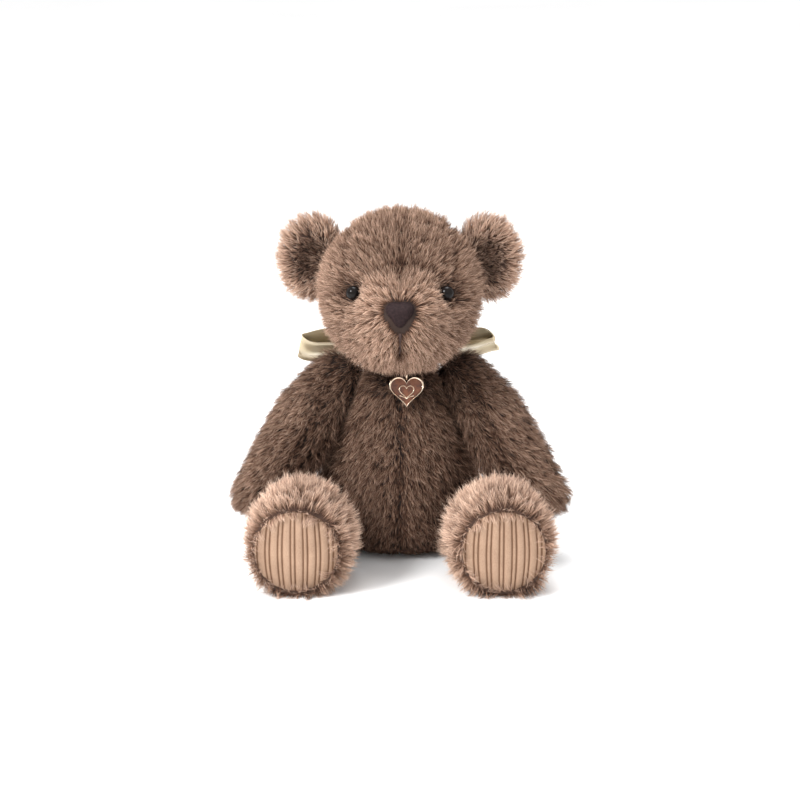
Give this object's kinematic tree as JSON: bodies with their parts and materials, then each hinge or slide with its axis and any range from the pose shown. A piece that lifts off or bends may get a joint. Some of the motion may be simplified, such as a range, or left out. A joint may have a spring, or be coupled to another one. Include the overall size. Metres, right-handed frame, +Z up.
{
  "type": "jointed teddy bear",
  "caption": "Sitting plush teddy bear with disc-jointed neck, shoulders and hips, cupped ears, corduroy soles, a satin neck bow and a small heart medal.",
  "frame": {"origin": "middle of the flat seat, on the surface that the bear sits on", "axes": "+Z up, the bear faces -Y, its left side is +X"},
  "size_m": [0.2286, 0.1778, 0.2356],
  "materials": {
    "body_plush": "dark brown pile with paler tips",
    "head_plush": "brown pile with beige tips",
    "muzzle_plush": "paler pinkish brown pile",
    "ear_plush": "brown pile with pale rims",
    "foot_plush": "long pale pinkish beige pile",
    "corduroy": "ribbed tan corduroy",
    "stuffing": "white polyester fibre",
    "joint_board": "pressed hardboard",
    "joint_steel": "zinc plated steel",
    "eye_glass": "polished black",
    "washer_plastic": "moulded white",
    "nose_cloth": "dark brown stitched cloth",
    "mouth_thread": "dark brown thread",
    "satin_ribbon": "champagne satin",
    "medal_enamel": "copper brown enamel in a pale metal rim",
    "medal_metal": "polished pale gold"
  },
  "bodies": {
    "torso": {"torso_panel_left": "body_plush", "torso_panel_right": "body_plush", "torso_stuffing": "stuffing", "neck_disc_torso": "joint_board", "shoulder_disc_torso_left": "joint_board", "shoulder_disc_torso_right": "joint_board", "hip_disc_torso_left": "joint_board", "hip_disc_torso_right": "joint_board", "ribbon_collar": "satin_ribbon", "bow_knot": "satin_ribbon", "bow_loop_left": "satin_ribbon", "bow_loop_right": "satin_ribbon", "bow_tail_left": "satin_ribbon", "bow_tail_right": "satin_ribbon", "medal": "medal_enamel", "medal_ring": "medal_metal", "medal_tab": "satin_ribbon"},
    "head": {"head_gusset": "head_plush", "head_side_left": "head_plush", "head_side_right": "head_plush", "muzzle_left": "muzzle_plush", "muzzle_right": "muzzle_plush", "head_stuffing": "stuffing", "nose": "nose_cloth", "mouth_stitches": "mouth_thread", "eye_left": "eye_glass", "eye_right": "eye_glass", "eye_washer_left": "washer_plastic", "eye_washer_right": "washer_plastic", "ear_lining_left": "ear_plush", "ear_lining_right": "ear_plush", "ear_back_left": "ear_plush", "ear_back_right": "ear_plush", "neck_disc_head": "joint_board", "neck_fasteners": "joint_steel"},
    "arm_left": {"arm_outer_panel_left": "body_plush", "arm_inner_panel_left": "body_plush", "arm_stuffing_left": "stuffing", "arm_disc_left": "joint_board", "arm_fasteners_left": "joint_steel"},
    "leg_left": {"leg_outer_panel_left": "body_plush", "leg_inner_panel_left": "body_plush", "foot_cuff_left": "foot_plush", "foot_pad_left": "corduroy", "leg_stuffing_left": "stuffing", "leg_disc_left": "joint_board", "leg_fasteners_left": "joint_steel"},
    "arm_right": {"arm_outer_panel_right": "body_plush", "arm_inner_panel_right": "body_plush", "arm_stuffing_right": "stuffing", "arm_disc_right": "joint_board", "arm_fasteners_right": "joint_steel"},
    "leg_right": {"leg_outer_panel_right": "body_plush", "leg_inner_panel_right": "body_plush", "foot_cuff_right": "foot_plush", "foot_pad_right": "corduroy", "leg_stuffing_right": "stuffing", "leg_disc_right": "joint_board", "leg_fasteners_right": "joint_steel"}
  },
  "joints": [
    {"name": "neck_turn", "type": "hinge", "parent": "torso", "child": "head", "pos_m": [0, 0, 0.134], "axis": [0, 0, 1], "range_deg": [-75, 75]},
    {"name": "shoulder_left", "type": "hinge", "parent": "torso", "child": "arm_left", "pos_m": [0.03, 0, 0.11], "axis": [-0.8988, 0, -0.4384], "range_deg": [-60, 65]},
    {"name": "shoulder_right", "type": "hinge", "parent": "torso", "child": "arm_right", "pos_m": [-0.03, 0, 0.11], "axis": [-0.8988, 0, 0.4384], "range_deg": [-60, 65]},
    {"name": "hip_left", "type": "hinge", "parent": "torso", "child": "leg_left", "pos_m": [0.0478, 0, 0.0225], "axis": [1, 0, 0], "range_deg": [0, 95]},
    {"name": "hip_right", "type": "hinge", "parent": "torso", "child": "leg_right", "pos_m": [-0.0478, 0, 0.0225], "axis": [1, 0, 0], "range_deg": [0, 95]}
  ]
}
